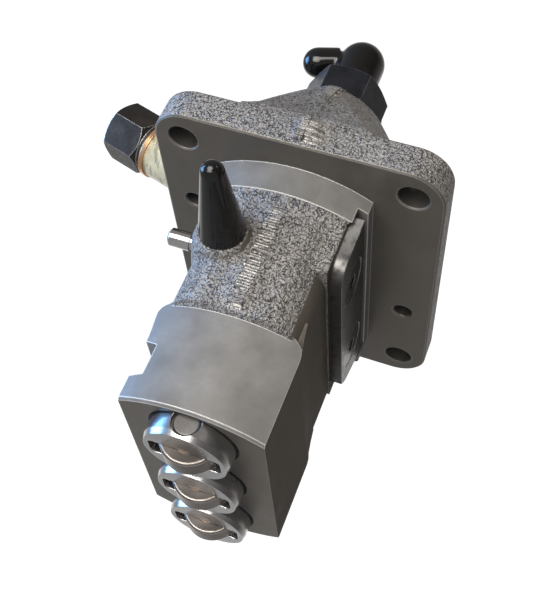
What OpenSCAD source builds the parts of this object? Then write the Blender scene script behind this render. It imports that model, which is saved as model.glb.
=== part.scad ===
// Flange-mounted diesel injection pump with three roller tappets in line.
// The origin is the centre of the flange's machined underside, +Z runs towards the delivery
// valves, +X towards the end with the rack's cone cap, +Y towards the side cover. Millimetres.

/* [Flange] */
// Length of the flange along X
flange_length = 100.6; // [98:0.2:108]
// Width of the flange along Y
flange_width = 81.0; // [79:0.5:90]
// Thickness of the flange
flange_thickness = 10.2; // [9:0.2:12]
// Radius of the flange's corners
flange_corner_radius = 10.5; // [8:0.5:11.5]
// Distance between the bolt holes along X
bolt_spacing_x = 82.5; // [81:0.5:84]
// Distance between the bolt holes along Y
bolt_spacing_y = 63.9; // [62:0.1:65]
// Diameter of a bolt hole
bolt_hole_diameter = 8.4; // [6.6:0.1:9]
// Distance of each jacking hole from the middle, along X
jack_hole_offset = 14.06; // [10:0.1:18]
// Diameter of a jacking hole
jack_hole_diameter = 5.6; // [4:0.1:6.5]

/* [Body] */
// Radius of the round ends of the locating pilot
pilot_radius = 41.26; // [41:0.05:42]
// Width of the pilot across its straight sides
pilot_width = 43.0; // [42.6:0.2:46]
// Depth of the pilot below the flange
pilot_depth = 8.9; // [8:0.1:9.6]
// Length of the cast body along X
body_length = 77.0; // [76.4:0.1:77.6]
// Distance of the cast body's rear face from the tappets' plane
body_rear = 18.0; // [17.6:0.1:18.6]
// Distance of the cast body's front face from the tappets' plane
body_front = 17.2; // [17:0.1:17.4]
// Radius of the cast body's corners
body_corner_radius = 10.8; // [9.5:0.1:11.4]
// Height of the cast body's lower end below the flange
body_bottom = 44.8; // [44:0.1:46]
// Radius of the machined guide's round ends
guide_radius = 37.04; // [36.4:0.05:37.2]
// Width of the machined guide
guide_width = 37.8; // [36:0.2:39]
// Height of the guide's lower end below the flange
guide_bottom = 72.4; // [71.6:0.1:73]
// Radius of the dome's flat top
dome_top_radius = 13.0; // [12.8:0.1:14]
// Height of the dome's flat top above the flange's underside
dome_height = 33.5; // [32.6:0.1:35]
// Radius of the dome's foot at its sides
dome_foot_radius = 30.0; // [28:0.1:31]

/* [Cylinders] */
// Distance between neighbouring cylinders
pitch = 24.0; // [23.8:0.05:24.4]
// Diameter of a tappet
tappet_diameter = 22.5; // [22.1:0.05:22.5]
// Radial running clearance of a tappet in its bore
tappet_clearance = 0.03; // [0.02:0.01:0.05]
// Distance from the roller pin's axis down to the tappet's ring end
tappet_ring_depth = 4.5; // [4.3:0.1:5.1]
// Length of a tappet
tappet_length = 29.0; // [28.6:0.1:29.6]
// Lift of a tappet
lift = 7.0; // [5:0.5:7]
// Diameter of a roller
roller_diameter = 15.5; // [14.6:0.1:15.8]
// Width of a roller
roller_width = 6.2; // [5.4:0.1:6.3]
// Height of the roller pin below the flange
roller_pin_height = 73.5; // [73.3:0.05:73.6]
// Diameter of a roller pin
roller_pin_diameter = 6.6; // [5.6:0.1:6.8]
// Diameter of a plunger
plunger_diameter = 6.0; // [5:0.1:6.4]
// Outer diameter of the control sleeve's body
sleeve_diameter = 12.0; // [11.8:0.1:12.1]
// Wire diameter of a plunger spring
spring_wire = 2.2; // [1.6:0.1:2.2]
// Coils of a plunger spring
spring_coils = 4.5; // [3.5:0.5:4.5]

/* [Rack] */
// Distance of the rack's axis from the plungers' plane
rack_offset = 10.7; // [10.6:0.05:10.9]
// Diameter of the rack
rack_diameter = 8.4; // [8.2:0.1:8.6]
// Height of the rack below the flange
rack_height = 24.0; // [23.8:0.1:24.2]
// Travel of the rack from rest, away from the cone cap
rack_travel = 9.0; // [7:0.5:9]
// Distance of the link pin from the middle, along X
link_pin_x = 30.6; // [30.2:0.1:31]
// Diameter of the link pin
link_pin_diameter = 4.95; // [4:0.05:5]
// Free length of the link pin outside the body
link_pin_reach = 6.8; // [6:0.1:8]
// Distance of the rack boss's face from the middle, along X
boss_face = 40.4; // [40.2:0.1:41]
// Radius of the rack boss at its face
boss_radius = 6.6; // [6.5:0.05:7]
// Length of the cone cap
cone_length = 26.4; // [24:0.2:30]
// Radius of the cone cap's base
cone_base_radius = 6.12; // [6.05:0.02:6.4]
// Radius of the cone cap's tip
cone_tip_radius = 3.04; // [2.8:0.02:3.4]

/* [Cover] */
// Length of the side cover along X
cover_length = 66.0; // [64:0.5:67]
// Distance of the side cover's middle from the middle of the body, along X
cover_x = 2.5; // [2:0.1:3]
// Height of the side cover
cover_height = 18.4; // [18:0.1:19]
// Height of the cover's lower edge below the flange
cover_bottom = 24.6; // [24:0.1:25]
// Thickness of the side cover
cover_thickness = 3.2; // [2.8:0.1:3.6]
// Thickness of the cover's gasket
gasket_thickness = 0.5; // [0.3:0.1:0.8]
// Distance of the machined pad from the tappets' plane
pad_front = 17.6; // [17.5:0.05:17.8]
// Distance between the cover's screws
cover_screw_spacing = 34.0; // [33:0.5:35]

/* [Outlets and inlet] */
// Width of a delivery holder's hexagon across its flats
holder_flats = 21.0; // [20:0.2:22]
// Height of a delivery holder's hexagon
holder_hex_height = 11.0; // [10:0.5:12]
// Diameter of a holder's thread
holder_thread_diameter = 18.0; // [17.6:0.1:18.4]
// Diameter of an outlet's thread
outlet_diameter = 12.0; // [11:0.1:12]
// Length of an outlet
outlet_length = 13.0; // [12:0.1:13.5]
// Outer radius of a dust cap's body
dust_cap_radius = 7.0; // [6.9:0.05:7.3]
// Angle of the inlet above the flange's plane
inlet_angle = 17.0; // [16:0.5:18]
// Radius of the inlet fitting
inlet_radius = 8.5; // [8.2:0.1:8.8]
// Width of the inlet's cap nut across its flats
inlet_nut_flats = 17.0; // [16.6:0.1:18]
// Distance of the inlet nut's outer end from the middle
inlet_reach = 74.6; // [73:0.2:78]

/* [Hidden] */
$fn = 48;
step = 0.1;
fit_gap = 0.03;
loose_gap = 0.3;

station = [-pitch, 0, pitch];
guide_z = -guide_bottom;
guide_half = guide_width / 2;
body_z = -body_bottom;
pad_margin = 0.6;
flare_half = 31.5;
pilot_z = -pilot_depth;
bolt_chamfer = 0.35;
jack_chamfer = 0.45;
jack_relief_r = jack_hole_diameter / 2 + 1.6;

tappet_r = tappet_diameter / 2;
tappet_bore_r = tappet_r + tappet_clearance;
pin_z = -roller_pin_height;
tappet_z = pin_z - tappet_ring_depth;
tappet_top = tappet_z + tappet_length;
tappet_bore_top = tappet_top + lift + 1;
tappet_wall = 2.0;
cup_r = tappet_r - tappet_wall;
cup_depth = 9.0;
cup_z = tappet_top - cup_depth;
pin_r = roller_pin_diameter / 2;
pocket_x = roller_width / 2 + 0.15;
pocket_y = tappet_r - 1.85;
pocket_top = pin_z + roller_diameter / 2 + 0.8;
bush_wall = 1.4;
pin_gap = 0.45;
pin_recess = 0.8;
pin_seat = 2.2;

guide_pin_z = pin_z + 12.7;
guide_pin_r = 2.0;
groove_half = 4.2;
groove_mouth = 5.3;
groove_y = 15.3;
guide_slot_y = tappet_r - 2.6;

shim_t = 2.5;
shim_r = 6.0;
foot_z = cup_z + shim_t;
foot_t = 2.0;
foot_r = 4.75;
lower_seat_t = 1.9;
lower_seat_z = foot_z + foot_t + 0.1;
lower_seat_top = lower_seat_z + lower_seat_t;
lower_seat_r = cup_r - loose_gap;

chamber_r = 10.25;
ledge_z = -30.0;
rim_chamber_r = 9.2;
rim_chamber_top = -13.5;
upper_seat_t = 1.6;
upper_seat_z = ledge_z - upper_seat_t;
spring_r = 7.4;

plunger_r = plunger_diameter / 2;
barrel_bore_r = plunger_r + fit_gap;
barrel_low_r = plunger_r + 1.8;
barrel_low_z = -30.5;
barrel_mid_r = 7.0;
barrel_mid_z = rim_chamber_top + 0.3;
barrel_head_r = 8.5;
barrel_head_z = 4.0;
dowel_r = 0.75;
dowel_y = 8.0;
dowel_depth = 2.4;
dowel_rise = 2.2;
barrel_top = 14.0;
port_z = 8.0;
port_r = 1.5;
plunger_top = port_z - port_r - 0.5;

sleeve_r = sleeve_diameter / 2;
sleeve_bore_r = barrel_low_r + fit_gap;
sleeve_bottom = -42.0;
sleeve_top = rim_chamber_top - 0.6;
vane_z = sleeve_bottom + 0.8;
vane_height = 3.0;
vane_half = 1.2;
vane_slot_half = vane_half + 0.1;
vane_reach = sleeve_r - 0.4;
gear_teeth = 20;
gear_module = pitch / (10 * PI);
gear_pitch_r = gear_module * gear_teeth / 2;
gear_tip_r = gear_pitch_r + 0.9 * gear_module;
gear_root_r = gear_pitch_r - 1.1 * gear_module;
gear_bottom = -rack_height - 2.7;
gear_top = -rack_height + 2.7;
backlash = 0.05;

rack_r = rack_diameter / 2;
rack_bore_r = rack_r + fit_gap;
rack_z = -rack_height;
rack_left = -pitch - 3.0;
rack_right = boss_face - 5.4;
rack_stub_r = 2.3;
rack_stub_right = boss_face + 5.6;
link_shank_r = link_pin_diameter / 2 - 0.5;
link_hole_r = link_shank_r + 0.02;
link_hole_top = -rack_offset + 1.4;
link_slot_r = link_shank_r + 0.45;
boss_root = 28.0;
boss_root_r = boss_radius + 2.83;
link_head_y = -rack_offset - boss_root_r - 0.3;
link_pin_y = link_head_y - link_pin_reach + 0.6;
cap_spigot_r = 5.3;
cap_spigot_length = 4.0;
plug_r = 5.3;
plug_depth = 3.2;

valve_seat_z = barrel_top;
valve_seat_top = valve_seat_z + 7;
valve_bore_r = 3.0;
valve_rim = 4.5;
valve_spring_seat = 1.4;
holder_z = valve_seat_top;
holder_r = holder_thread_diameter / 2;
holder_bore_r = holder_r + 0.05;
holder_hex_r = holder_flats / 2 / cos(30);
hex_top = dome_height + holder_hex_height;
outlet_top = hex_top + outlet_length;
outlet_r = outlet_diameter / 2;
valve_chamber_r = 5.2;
valve_chamber_top = valve_seat_top + 14;
outlet_bore_r = 1.3;
holder_turn = 94;
holder_groove = 2.2;
cap_low = hex_top + 1.6;
cap_centre = outlet_top - 1.9;
ear_reach = 12.8;
ear_drop = 2.8;
ear_radius = 4.6;
ear_rise = 19;

inlet_axis_z = 6.24;
inlet_boss_end = 38.0;
inlet_fitting_end = 58.2;
inlet_spigot_r = 7.0;
inlet_spigot_end = 27.0;
inlet_bore_r = 3.0;
inlet_thread_r = 5.9;
gallery_r = 3.0;
washer_r = 9.0;
washer_t = 1.5;
inlet_nut_start = inlet_fitting_end + washer_t;
inlet_hex_start = inlet_nut_start + 3.1;
inlet_hex_turn = 52;
inlet_nut_crown = 3.6;
inlet_spot_r = inlet_radius + 1;
inlet_root_r = inlet_radius + 5;
inlet_face_r = inlet_radius + 3;
inlet_nut_r = inlet_nut_flats / 2 / cos(30);

cover_half = cover_length / 2;
cover_top = -cover_bottom + cover_height;
cover_inner = pad_front + gasket_thickness;
cover_outer = cover_inner + cover_thickness;
cover_screw_x = [cover_x - cover_screw_spacing / 2, cover_x + cover_screw_spacing / 2];
cover_middle_z = -cover_bottom + cover_height / 2;
screw_r = 3.0;
screw_head_r = 6.9;
screw_head = cover_thickness * 0.86;
screw_reach = 9;
screw_gap = 0.05;
socket_r = 2.3;
cover_corner = 6;
cover_notch = [7.5, 4, 3.2];
window_z = [-22.6, -8.6];
cast_grey = [0.45, 0.45, 0.44];
steel_grey = [0.72, 0.73, 0.75];
dark_rubber = [0.05, 0.05, 0.05];
copper_red = [0.72, 0.42, 0.25];

// Places its children at each cylinder
module at_cylinders() {
  for (x = station) translate([x, 0, 0]) children();
}

// Cylinder from one height to another
module rod(radius, low, high) {
  translate([0, 0, low]) cylinder(r = radius, h = high - low);
}

// Cylinder along X from one place to another
module rod_x(radius, low, high) {
  translate([low, 0, 0]) rotate([0, 90, 0]) cylinder(r = radius, h = high - low);
}

// Places its children on the inlet's axis, which then runs along +Z
module at_inlet() {
  translate([0, 0, inlet_axis_z]) rotate([90 - inlet_angle, 0, 0]) children();
}

// Places its children on the rack's axis, with +X kept
module at_rack() {
  translate([0, -rack_offset, rack_z]) children();
}

// Quarter circle of points for a rounded edge
function arc_points(cx, cy, radius, from, to, count) =
  [for (i = [0 : count]) let (a = from + (to - from) * i / count)
    [cx + radius * cos(a), cy + radius * sin(a)]];

// Half outline of a plate with a small chamfer below and a round edge above
function plate_half(half, height, low, high) =
  concat([[half - low, 0], [half, low]], arc_points(half - high, height - high, high, 0, 90, 4));

// Plate with round corners and soft edges, made of two prisms and four turned corners
module soft_plate(length, width, height, corner, low, high) {
  side_x = plate_half(length / 2, height, low, high);
  side_y = plate_half(width / 2, height, low, high);
  turn = plate_half(corner, height, low, high);
  rotate([90, 0, 0]) linear_extrude(height = width - 2 * corner, center = true)
    polygon(concat(side_x, [for (i = [len(side_x) - 1 : -1 : 0]) [-side_x[i][0], side_x[i][1]]]));
  rotate([90, 0, 90]) linear_extrude(height = length - 2 * corner, center = true)
    polygon(concat(side_y, [for (i = [len(side_y) - 1 : -1 : 0]) [-side_y[i][0], side_y[i][1]]]));
  for (sx = [-1, 1], sy = [-1, 1])
    translate([sx * (length / 2 - corner), sy * (width / 2 - corner), 0])
      rotate_extrude() polygon(concat([[0, 0]], turn, [[0, height]]));
}

// Outline of a rounded rectangle between given sides
module round_box(left, right, rear, front, corner, low, high) {
  translate([0, 0, low]) linear_extrude(height = high - low) {
    translate([left + corner, rear]) square([right - left - 2 * corner, front - rear]);
    translate([left, rear + corner]) square([right - left, front - rear - 2 * corner]);
    for (x = [left + corner, right - corner], y = [rear + corner, front - corner])
      translate([x, y]) circle(r = corner);
  }
}

// Outline of one flank of the dome, from a foot at a given distance up to the flat top
function dome_flank(foot, top, bulge, rise) =
  concat([[foot + 1.6, flange_thickness - 1.0], [foot + 1.4, flange_thickness + 0.1],
    [foot + 0.3, flange_thickness + 0.7]],
    [for (i = [1 : 8]) let (s = i / 9)
      [foot - (foot - top) * s + bulge * sin(180 * s) + rise,
       flange_thickness + (dome_height - flange_thickness) * s + rise * 0.6]],
    [[top + 0.5 + rise, dome_height - 1.0 + rise * 0.3], [top - 0.4, dome_height - 0.3],
      [top - 1.2, dome_height]]);
function both_sides(half) = concat(half, [for (i = [len(half) - 1 : -1 : 0]) [-half[i][0], half[i][1]]]);

// Dome over the three barrels, steeper at its ends, where its foot meets the flange's edge
module dome() {
  side = dome_flank(dome_foot_radius, dome_top_radius, 0.3, 0);
  bent = dome_flank(flange_length / 2 - 1.5, pitch + dome_top_radius, 1.6, 0);
  end_x = flange_length / 2;
  ends = concat([[end_x - 0.3, flange_thickness - 2.5], [end_x - 0.4, flange_thickness - 0.4],
    [end_x - 1.0, flange_thickness + 1.2]], [for (i = [4 : len(bent) - 1]) bent[i]]);
  intersection() {
    union() {
      for (x = [-pitch, pitch]) translate([x, 0, 0])
        rotate_extrude() polygon(concat([[0, side[0][1]]], side, [[0, dome_height]]));
      rotate([90, 0, 90]) linear_extrude(height = 2 * pitch, center = true) polygon(both_sides(side));
    }
    rotate([90, 0, 0]) linear_extrude(height = 2 * flange_width, center = true) polygon(both_sides(ends));
  }
}

// Raised line where the two halves of the mould met
module parting_ridges() {
  rise = 0.8;
  for (side = [-1, 1]) {
    translate([side * (body_length / 2 - 3), 0, (body_z + pilot_z) / 2 + 0.9])
      cube([2 * (3 + 0.9), 3.5, pilot_z - body_z - 3.4], center = true);
    translate([side * (flange_length / 2 - 2), 0.5, flange_thickness / 2 + 0.4])
      cube([2 * (2 + 1.6), 2.2, flange_thickness - 2.2], center = true);
  }
  rotate([90, 0, 0]) linear_extrude(height = 3.2, center = true)
    polygon(both_sides(dome_flank(flange_length / 2 - 2.6, pitch + dome_top_radius, 1.6, rise)));
}

// Locating pilot, and the flare from the cast body out to its lower edge
module pilot() {
  intersection() {
    union() {
      rod(pilot_radius, pilot_z, 1);
      rotate_extrude() polygon(concat([[30, pilot_z + 0.5], [pilot_radius - 0.3, pilot_z + 0.5],
        [pilot_radius - 0.3, pilot_z]], arc_points(pilot_radius + 1.9, pilot_z - 4.6, 4.6, 118, 176, 4),
        [[30, pilot_z - 6]]));
    }
    translate([0, 0, pilot_z / 2]) cube([120, pilot_width, -pilot_z + 3], center = true);
  }
  intersection() {
    rotate_extrude() polygon(concat([[30, pilot_z + 0.5], [pilot_radius - 0.3, pilot_z + 0.5],
      [pilot_radius - 0.3, pilot_z]], arc_points(pilot_radius + 1.9, pilot_z - 4.6, 4.6, 118, 176, 4),
      [[30, pilot_z - 6]]));
    translate([0, (body_front - body_rear) / 2, pilot_z - 2])
      cube([120, body_front + body_rear, 10], center = true);
  }
}

// Cast body, with its lower end tapered to the guide
module cast_body() {
  intersection() {
    round_box(-body_length / 2, body_length / 2, -body_rear, body_front, body_corner_radius, body_z, 1);
    rotate_extrude() polygon([[0, body_z], [guide_radius + 0.4, body_z], [guide_radius + 1.2, body_z + 0.5],
      [guide_radius + 4, body_z + 1.3], [guide_radius + 4, 2], [0, 2]]);
  }
  translate([cover_x - cover_half - pad_margin, 0, -cover_bottom - pad_margin])
    cube([cover_length + 2 * pad_margin, pad_front, cover_height + 2 * pad_margin + 5]);
  intersection() {
    rotate([90, 0, 90]) linear_extrude(height = 2 * flare_half, center = true)
      polygon([[0, body_z + 7], [body_front - 0.2, body_z + 7], [body_front + 0.3, body_z + 3.4],
        [body_front + 0.8, body_z + 0.8], [guide_half - 0.5, body_z - 1.2], [0, body_z - 1.2]]);
    round_box(-flare_half, flare_half, -3, guide_half, 2.5, body_z - 2, body_z + 8);
  }
}

// Machined guide of the tappets, with rounded shoulders under the cast body
module guide() {
  intersection() {
    rotate_extrude() polygon([[0, guide_z], [guide_radius - 0.7, guide_z], [guide_radius, guide_z + 0.7],
      [guide_radius, body_z + 1], [0, body_z + 1]]);
    rotate([90, 0, 90]) linear_extrude(height = 2 * flange_length, center = true)
      polygon([[-guide_half, guide_z - 1], [guide_half, guide_z - 1], [guide_half, body_z - 3.8],
        [guide_half - 0.2, body_z - 2.1], [guide_half - 0.6, body_z - 0.8], [guide_half - 1.4, body_z],
        [guide_half - 2.9, body_z + 1], [2.2 - guide_half, body_z + 1], [0.6 - guide_half, body_z + 0.2],
        [-0.4 - guide_half, body_z - 0.6], [-1.0 - guide_half, body_z - 2.0],
        [-0.7 - guide_half, body_z - 4.4], [-0.3 - guide_half, body_z - 7], [-guide_half, body_z - 9.5]]);
  }
}

// Bosses at both ends of the rack's bore
module rack_bosses() {
  at_rack() for (side = [0, 1]) mirror([side, 0, 0]) rotate([0, 90, 0]) rotate_extrude()
    polygon([[0, boss_root], [boss_root_r, boss_root], [boss_radius + 2.1, boss_face - 6.4],
      [boss_radius + 1.4, boss_face - 3.2], [boss_radius + 0.7, boss_face - 1.2], [boss_radius, boss_face],
      [0, boss_face]]);
}

module inlet_boss() {
  at_inlet() cylinder(r1 = inlet_root_r, r2 = inlet_face_r, h = inlet_boss_end);
}

// Everything that is cut for one cylinder
module cylinder_bores() {
  rod(tappet_bore_r, guide_z - step, tappet_bore_top);
  translate([0, 0, guide_z - step]) cylinder(r1 = tappet_bore_r + 0.85, r2 = tappet_bore_r, h = 0.85);
  rod(chamber_r, tappet_bore_top - step, ledge_z);
  rod(rim_chamber_r, ledge_z - step, rim_chamber_top);
  rod(barrel_mid_r + fit_gap, rim_chamber_top - step, barrel_head_z + step);
  rod(holder_bore_r, barrel_head_z, dome_height + step);
  translate([0, 0, dome_height - 0.6]) cylinder(r1 = holder_bore_r, r2 = holder_bore_r + 0.7, h = 0.7);
  translate([0, dowel_y, barrel_head_z - dowel_depth - 0.1])
    cylinder(r = dowel_r + 0.02, h = dowel_depth + 1);
  translate([0, -guide_half - 1.2, guide_pin_z]) rotate([-90, 0, 0])
    cylinder(r = guide_pin_r + 0.02, h = guide_half - tappet_r + 3);
}

// Groove along the guide's rear side, over the three guide pins
module guide_groove() {
  translate([0, 0, guide_pin_z]) rotate([90, 0, 90])
    linear_extrude(height = 2 * flange_length, center = true)
    polygon([[-groove_y, -groove_half], [-groove_y - 4.8, -groove_mouth], [-groove_y - 4.8, groove_mouth],
      [-groove_y, groove_half]]);
}

// Straight hole from the flange's underside, with a small chamfer at its mouth
module flange_hole(radius, chamfer) {
  rod(radius, -step, flange_thickness + step);
  translate([0, 0, -step]) cylinder(r1 = radius + chamfer + step, r2 = radius, h = chamfer + step);
}

// Four bolt holes, and two jacking holes spot-faced from above
module flange_holes() {
  for (sx = [-1, 1], sy = [-1, 1]) translate([sx * bolt_spacing_x / 2, sy * bolt_spacing_y / 2, 0])
    flange_hole(bolt_hole_diameter / 2, bolt_chamfer);
  for (side = [-1, 1]) translate([side * jack_hole_offset, -side * bolt_spacing_y / 2, 0]) {
    flange_hole(jack_hole_diameter / 2, jack_chamfer);
    rod(jack_relief_r, flange_thickness, 2 * dome_height);
  }
}

// Rack bore, its counterbores and the slot that the link pin moves in
module rack_cuts() {
  at_rack() {
    rod_x(rack_bore_r, -boss_face - step, boss_face + step);
    rod_x(cap_spigot_r + fit_gap, boss_face - cap_spigot_length, boss_face + step);
    rod_x(plug_r + fit_gap, -boss_face - step, -boss_face + plug_depth);
    for (x = [link_pin_x - rack_travel, link_pin_x]) translate([x, 0, 0])
      rotate([90, 0, 0]) cylinder(r = link_slot_r, h = 2 * boss_root_r);
    translate([link_pin_x - rack_travel, -2 * boss_root_r, -link_slot_r])
      cube([rack_travel, 2 * boss_root_r, 2 * link_slot_r]);
  }
}

// Windows behind the side cover, its notch in the pilot and its screws' holes
module cover_cuts() {
  span = [[-pitch - 4.5, -pitch + 3.5], [-7.5, 12.5], [pitch + 1.5, pitch + 8]];
  for (s = span) translate([s[0], 6, window_z[0]]) cube([s[1] - s[0], 15, window_z[1] - window_z[0]]);
  translate([cover_x - cover_half - 1.2, pad_front, cover_top - 21])
    cube([cover_length + 2.4, 12, 21 + 2.2]);
  for (x = cover_screw_x) translate([x, pad_front + step, cover_middle_z]) rotate([90, 0, 0])
    cylinder(r = screw_r + fit_gap, h = screw_reach);
}

module inlet_cuts() {
  at_inlet() {
    rod(inlet_spigot_r + fit_gap, inlet_spigot_end - 0.5, inlet_boss_end + step);
    rod(inlet_spot_r, inlet_boss_end, inlet_fitting_end);
    rod(inlet_bore_r + 1, 0, inlet_spigot_end);
  }
  translate([0, 0, barrel_top - 5]) rotate([0, 90, 0]) cylinder(r = gallery_r, h = 2 * pitch, center = true);
}

module housing() {
  color(cast_grey) difference() {
    union() {
      soft_plate(flange_length, flange_width, flange_thickness, flange_corner_radius, 0.5, 2.0);
      pilot();
      cast_body();
      guide();
      dome();
      parting_ridges();
      rack_bosses();
      intersection() {
        inlet_boss();
        translate([-flange_length / 2, -flange_width, flange_thickness / 2])
          cube([flange_length, flange_width, 2 * flange_length]);
      }
    }
    at_cylinders() cylinder_bores();
    guide_groove();
    flange_holes();
    rack_cuts();
    cover_cuts();
    inlet_cuts();
  }
}

module tappet() {
  difference() {
    rotate_extrude() polygon([[0, tappet_z], [tappet_r - 0.45, tappet_z], [tappet_r, tappet_z + 1.5],
      [tappet_r, tappet_top - 0.5], [tappet_r - 0.5, tappet_top], [0, tappet_top]]);
    round_box(-pocket_x, pocket_x, -pocket_y, pocket_y, 1.4, tappet_z - step, pocket_top);
    rod(cup_r, cup_z, tappet_top + step);
    translate([0, 0, pin_z]) {
      rod_x(pin_r + fit_gap, -tappet_r - 1, tappet_r + 1);
      for (side = [0, 1]) mirror([side, 0, 0]) rod_x(pin_r + pin_gap, tappet_r - pin_seat, tappet_r + 1);
    }
    for (z = [guide_pin_z + fit_gap, guide_pin_z - lift - 0.4]) translate([0, -guide_slot_y, z])
      rotate([90, 0, 0]) cylinder(r = guide_pin_r + 0.1, h = 5);
    translate([-guide_pin_r - 0.1, -guide_slot_y - 5, guide_pin_z - lift - 0.4])
      cube([2 * guide_pin_r + 0.2, 5, lift + 0.4 + fit_gap]);
    translate([0, 6.5, pocket_top - step]) cylinder(r = 1.0, h = 12);
  }
}

module roller() {
  turn_r = roller_diameter / 2;
  half = roller_width / 2;
  translate([0, 0, pin_z]) rotate([0, 90, 0]) rotate_extrude()
    polygon([[pin_r + bush_wall + fit_gap, -half], [turn_r - 0.5, -half], [turn_r, -half + 0.5],
      [turn_r, half - 0.5], [turn_r - 0.5, half], [pin_r + bush_wall + fit_gap, half]]);
}

module roller_bush() {
  translate([0, 0, pin_z]) rotate([0, 90, 0]) difference() {
    cylinder(r = pin_r + bush_wall, h = roller_width, center = true);
    cylinder(r = pin_r + fit_gap, h = roller_width + 1, center = true);
  }
}

module roller_pin() {
  reach = sqrt(tappet_r * tappet_r - pin_r * pin_r) - pin_recess;
  edge = 0.4;
  translate([0, 0, pin_z]) rotate([0, 90, 0]) rotate_extrude()
    polygon([[0, -reach], [pin_r - edge, -reach], [pin_r, edge - reach], [pin_r, reach - edge],
      [pin_r - edge, reach], [0, reach]]);
}

module shim() {
  rod(shim_r, cup_z, foot_z);
}

// Slotted seat that slips over the plunger's foot from the side
module lower_seat() {
  difference() {
    rod(lower_seat_r, cup_z, lower_seat_top);
    rod(shim_r + loose_gap, cup_z - step, lower_seat_z);
    rod(plunger_r + 0.4, cup_z, lower_seat_top + step);
    translate([0, -plunger_r - 0.4, cup_z]) cube([20, 2 * plunger_r + 0.8, 20]);
    translate([0, -shim_r - loose_gap, cup_z - step])
      cube([20, 2 * (shim_r + loose_gap), lower_seat_z - cup_z + step]);
  }
}

// Coil swept as one closed mesh along a helix
module coil(radius, wire, low, high, coils, sides, rings) {
  rise = high - low - wire;
  count = round(coils * rings);
  points = [for (i = [0 : count], j = [0 : sides - 1])
    let (turn = coils * 360 * i / count, a = 360 * j / sides,
         flat = min(1, max(0, (i / count * coils - 0.75) / (coils - 1.5))),
         z = low + wire / 2 + rise * flat)
    let (out = radius + wire / 2 * cos(a)) [out * cos(turn), out * sin(turn), z + wire / 2 * sin(a)]];
  sides_of = [for (i = [0 : count - 1], j = [0 : sides - 1])
    [i * sides + j, (i + 1) * sides + j, (i + 1) * sides + (j + 1) % sides, i * sides + (j + 1) % sides]];
  polyhedron(points, concat(sides_of, [[for (j = [0 : sides - 1]) j],
    [for (j = [sides - 1 : -1 : 0]) count * sides + j]]), convexity = 6);
}

module plunger_spring() {
  coil(spring_r, spring_wire, lower_seat_top, upper_seat_z, spring_coils, 8, 14);
}

module upper_seat() {
  difference() {
    rod(chamber_r - loose_gap, upper_seat_z, ledge_z);
    rod(sleeve_r + 0.25, upper_seat_z - step, ledge_z + step);
  }
}

// Plunger with its foot, control vane, slanted control edge and stop groove
module plunger() {
  difference() {
    union() {
      rod(plunger_r, foot_z + foot_t, plunger_top);
      rod(foot_r, foot_z, foot_z + foot_t);
      translate([-vane_reach, -vane_half, vane_z]) cube([2 * vane_reach, 2 * vane_half, vane_height]);
    }
    translate([-0.6, -plunger_r - 1, plunger_top - 8]) cube([1.2, 2.0, 9]);
    translate([0, -plunger_r - 0.4, plunger_top - 6]) rotate([0, 38, 0]) cube([8, 2.2, 2.4], center = true);
  }
}

// One tooth's flank as points at growing radius
function involute_turn(radius, base) = sqrt(pow(radius / base, 2) - 1) * 180 / PI - acos(base / radius);
function tooth_points(z, pitch_r, root, tip, thin) =
  let (base = pitch_r * cos(20), half = 90 / z - thin, start = max(root, base + 0.001),
       at_pitch = involute_turn(pitch_r, base), count = 4)
  concat([[root - 0.2, half + at_pitch], [root, half + at_pitch]],
    [for (i = [0 : count]) let (radius = start + (tip - start) * i / count)
      [radius, half + at_pitch - involute_turn(radius, base)]]);

module tooth_ring() {
  thin = backlash / gear_pitch_r * 180 / PI / 2;
  flank = tooth_points(gear_teeth, gear_pitch_r, gear_root_r, gear_tip_r, thin);
  outline = concat([for (p = flank) [p[0] * cos(-p[1]), p[0] * sin(-p[1])]],
    [for (i = [len(flank) - 1 : -1 : 0]) [flank[i][0] * cos(flank[i][1]), flank[i][0] * sin(flank[i][1])]]);
  translate([0, 0, gear_bottom]) linear_extrude(height = gear_top - gear_bottom) {
    circle(r = gear_root_r);
    for (i = [0 : gear_teeth - 1]) rotate(360 * i / gear_teeth - 90) polygon(outline);
  }
}

// Toothed control sleeve on the barrel's lower end, slotted for the plunger's vane
module control_sleeve() {
  difference() {
    union() {
      rod(sleeve_r, sleeve_bottom, gear_bottom + step);
      tooth_ring();
      rod(sleeve_r + 0.6, gear_top - step, sleeve_top);
    }
    rod(sleeve_bore_r, sleeve_bottom - step, sleeve_top + step);
    translate([-10, -vane_slot_half, sleeve_bottom - step])
      cube([20, 2 * vane_slot_half, vane_height + lift + 2]);
    translate([0, 0, sleeve_top - 3.5]) rotate([-90, 0, 0]) cylinder(r = 0.8, h = 12);
  }
}

module barrel() {
  difference() {
    union() {
      rod(barrel_low_r, barrel_low_z, barrel_mid_z + step);
      rod(barrel_mid_r, barrel_mid_z, barrel_head_z + step);
      rod(barrel_head_r, barrel_head_z, barrel_top);
    }
    rod(barrel_bore_r, barrel_low_z - step, barrel_top + step);
    translate([0, 0, port_z]) rotate([90, 0, 0]) cylinder(r = port_r, h = 40, center = true);
    translate([0, dowel_y, barrel_head_z - step]) cylinder(r = dowel_r + 0.1, h = dowel_rise + 0.4);
  }
}

module barrel_dowel() {
  translate([0, dowel_y, barrel_head_z - dowel_depth]) cylinder(r = dowel_r, h = dowel_depth + dowel_rise);
}

module guide_pin() {
  translate([0, -groove_y + 0.2, guide_pin_z]) rotate([-90, 0, 0])
    cylinder(r = guide_pin_r, h = groove_y - 0.2 - guide_slot_y - 0.35);
}

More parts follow.
